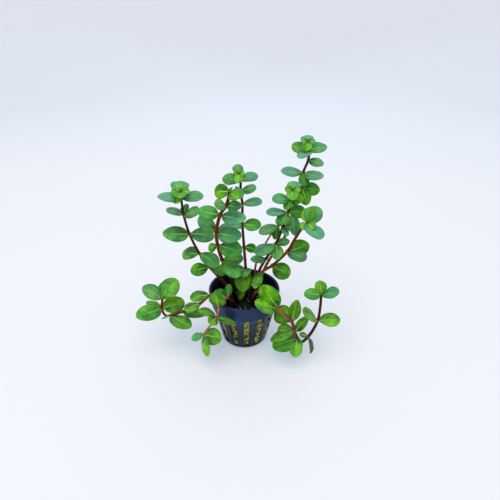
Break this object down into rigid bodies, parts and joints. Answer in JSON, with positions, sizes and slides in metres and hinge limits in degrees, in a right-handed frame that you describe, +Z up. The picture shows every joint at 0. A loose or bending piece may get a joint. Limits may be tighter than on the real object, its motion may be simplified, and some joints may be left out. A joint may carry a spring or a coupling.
{
  "type": "potted aquarium stem plant",
  "caption": "Bushy stem plant with paired oval green leaves on dark red stems, some trailing over the rim, rooted in rock wool in a slotted black net pot.",
  "frame": {"origin": "middle of the pot's flat base, on the surface that it stands on", "axes": "+Z up, +X to the right and -Y towards the viewer of the picture"},
  "size_m": [0.1342, 0.0726, 0.1406],
  "materials": {
    "pot": "moulded black plastic with a blue-grey sheen, satin outside",
    "rock_wool": "damp olive brown mineral fibre, rough and mottled",
    "stem": "smooth dark red-brown, orange-brown near the root",
    "leaf": "glossy mid green with a paler midrib and a darker margin",
    "young_leaf": "glossy yellow-green"
  },
  "bodies": {
    "root": {"pot": "pot", "rock_wool": "rock_wool", "stem_far_left": "stem", "leaves_far_left_3": "leaf", "leaves_far_left_4": "leaf", "leaves_far_left_5": "leaf", "leaves_far_left_6": "leaf", "crown_far_left": "young_leaf", "stem_mid_left": "stem", "leaves_mid_left_3": "leaf", "leaves_mid_left_4": "leaf", "leaves_mid_left_5": "leaf", "leaves_mid_left_6": "leaf", "crown_mid_left": "young_leaf", "stem_centre": "stem", "leaves_centre_2": "leaf", "leaves_centre_3": "leaf", "leaves_centre_4": "leaf", "leaves_centre_5": "leaf", "leaves_centre_6": "leaf", "crown_centre": "young_leaf", "stem_right_back": "stem", "leaves_right_back_4": "leaf", "leaves_right_back_5": "leaf", "leaves_right_back_6": "leaf", "leaves_right_back_7": "leaf", "crown_right_back": "young_leaf", "stem_right_mid": "stem", "leaves_right_mid_3": "leaf", "leaves_right_mid_4": "leaf", "leaves_right_mid_5": "leaf", "leaves_right_mid_6": "leaf", "crown_right_mid": "young_leaf", "stem_right_front": "stem", "leaves_right_front_2": "leaf", "leaves_right_front_3": "leaf", "leaves_right_front_4": "leaf", "crown_right_front": "young_leaf", "stem_left_trailing": "stem", "leaves_left_trailing_3": "leaf", "leaves_left_trailing_4": "leaf", "leaves_left_trailing_5": "leaf", "leaves_left_trailing_6": "leaf", "crown_left_trailing": "young_leaf", "stem_front_left": "stem", "leaves_front_left_3": "leaf", "leaves_front_left_6": "leaf", "leaves_front_left_8": "leaf", "crown_front_left": "young_leaf", "stem_right_trailing": "stem", "leaves_right_trailing_4": "leaf", "leaves_right_trailing_5": "leaf", "leaves_right_trailing_6": "leaf", "leaves_right_trailing_7": "leaf", "leaves_right_trailing_10": "leaf", "leaves_right_trailing_12": "leaf", "crown_right_trailing": "young_leaf", "stem_back_right": "stem", "crown_back_right": "young_leaf"}
  },
  "joints": []
}
